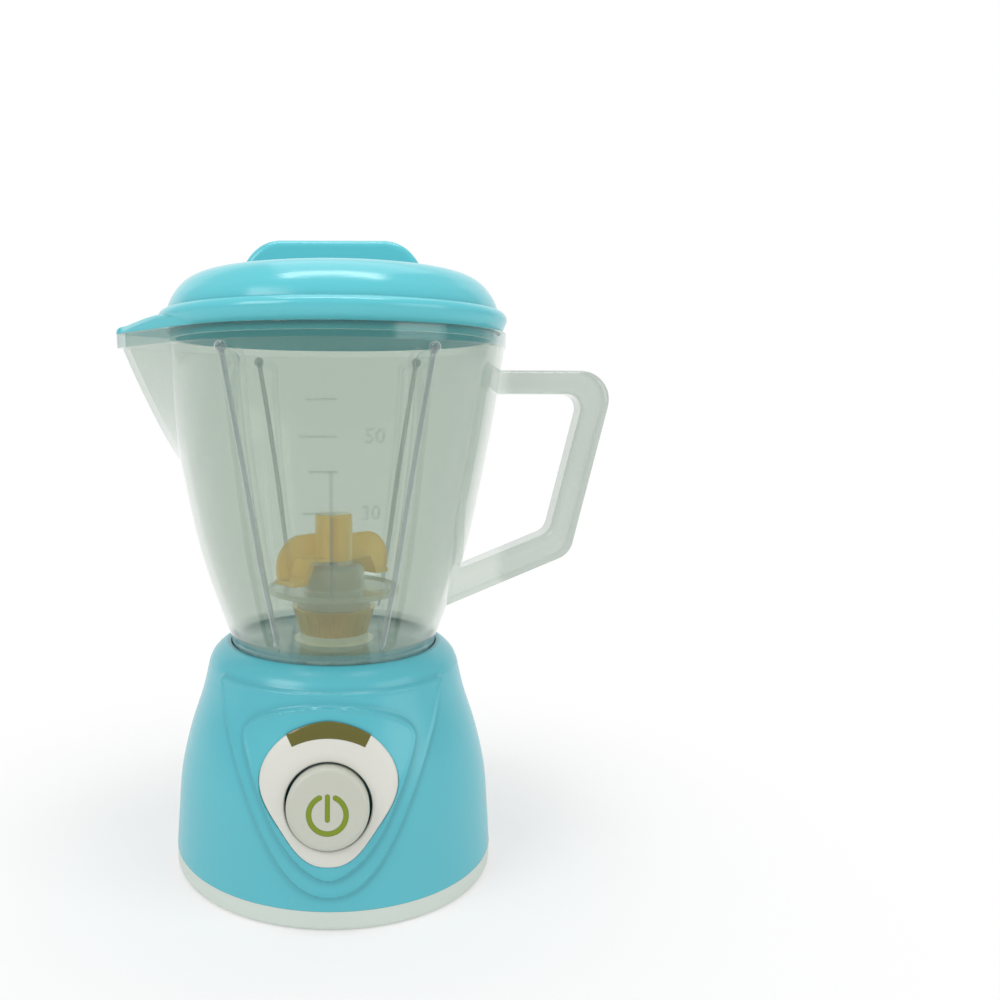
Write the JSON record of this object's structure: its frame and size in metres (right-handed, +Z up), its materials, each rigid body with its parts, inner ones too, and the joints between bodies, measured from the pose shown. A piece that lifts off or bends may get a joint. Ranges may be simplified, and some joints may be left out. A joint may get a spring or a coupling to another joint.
{
  "type": "toy blender",
  "caption": "Toy kitchen blender: flared base with a push button and a light window, lift-off clear jug with handle, pouring spout and turning blade, and a lift-off domed lid.",
  "frame": {"origin": "middle of the flat foot, on the jug's and the motor drive's axis", "axes": "+Z up along the jug's axis, the push button faces -Y, the handle points to +X and the spout to -X"},
  "size_m": [0.1496, 0.1079, 0.1936],
  "materials": {
    "shell_teal": "smooth moulded plastic, soft gloss",
    "lid_teal": "smooth moulded plastic, soft gloss",
    "off_white_plastic": "smooth moulded plastic, satin",
    "clear_plastic": "clear, polished",
    "amber_plastic": "see-through amber, polished",
    "window_plastic": "dark olive, see-through, polished",
    "black_plastic": "matt moulded plastic",
    "gear_plastic": "natural acetal",
    "board_green": "laminate with solder mask",
    "lamp_plastic": "diffused lens",
    "steel": "bright zinc plated",
    "spring_steel": "drawn wire",
    "brass_metal": "sintered bearing metal",
    "cell_jacket": "printed steel can, plain"
  },
  "bodies": {
    "base": {"base_housing": "shell_teal", "base_plate": "off_white_plastic", "plate_screws": "steel", "battery_cell_left": "cell_jacket", "battery_cell_right": "cell_jacket", "battery_contact_plates": "steel", "battery_contact_springs": "spring_steel", "control_panel": "off_white_plastic", "indicator_window": "window_plastic", "button_spring": "spring_steel", "push_switch": "black_plastic", "circuit_board": "board_green", "board_screws": "steel", "indicator_lights": "lamp_plastic", "gear_case": "black_plastic", "gear_case_cover": "black_plastic", "gear_case_screws": "steel", "motor_can": "steel", "motor_end_cap": "black_plastic", "motor_terminals": "steel", "middle_axle": "steel", "output_bush": "brass_metal"},
    "battery_door": {"battery_door": "off_white_plastic", "battery_door_screws": "steel"},
    "power_button": {"power_button": "off_white_plastic", "switch_plunger": "black_plastic"},
    "output": {"output_gear": "gear_plastic", "output_shaft": "steel", "drive_coupler": "gear_plastic"},
    "middle_gear": {"middle_gear": "gear_plastic"},
    "motor_rotor": {"motor_shaft": "steel", "motor_pinion": "gear_plastic"},
    "jug": {"jug": "clear_plastic", "spindle_bush": "brass_metal", "blade_collar": "amber_plastic", "splash_dish": "clear_plastic"},
    "rotor": {"blade": "amber_plastic", "spindle": "steel", "driven_coupler": "gear_plastic"},
    "lid": {"lid": "lid_teal"}
  },
  "joints": [
    {"name": "battery_door", "type": "slide", "parent": "base", "child": "battery_door", "axis": [0, 0, -1], "range_m": [0, 0.01]},
    {"name": "power_button", "type": "slide", "parent": "base", "child": "power_button", "axis": [0, 0.9763, -0.2164], "range_m": [0, 0.0025], "stiffness_N_per_m": 300, "springref_m": -0.002, "deforming": ["button_spring"]},
    {"name": "output_spin", "type": "hinge", "parent": "base", "child": "output", "pos_m": [0, 0, 0.05], "axis": [0, 0, 1], "continuous": true},
    {"name": "middle_gear_spin", "type": "hinge", "parent": "base", "child": "middle_gear", "pos_m": [0.00892, 0.00892, 0.047], "axis": [0, 0, 1], "continuous": true},
    {"name": "motor_spin", "type": "hinge", "parent": "base", "child": "motor_rotor", "pos_m": [0, 0.01785, 0.03], "axis": [0, 0, 1], "continuous": true},
    {"name": "jug_lift", "type": "slide", "parent": "base", "child": "jug", "axis": [0, 0, 1], "range_m": [0, 0.03]},
    {"name": "blade_spin", "type": "hinge", "parent": "jug", "child": "rotor", "pos_m": [0, 0, 0.1], "axis": [0, 0, 1], "continuous": true},
    {"name": "lid_lift", "type": "slide", "parent": "jug", "child": "lid", "axis": [0, 0, 1], "range_m": [0, 0.03]}
  ],
  "couplings": [
    {"joint": "middle_gear_spin", "follows": "output_spin", "ratio": -2.5},
    {"joint": "motor_spin", "follows": "output_spin", "ratio": 6.25},
    {"joint": "blade_spin", "follows": "output_spin", "ratio": 1}
  ]
}
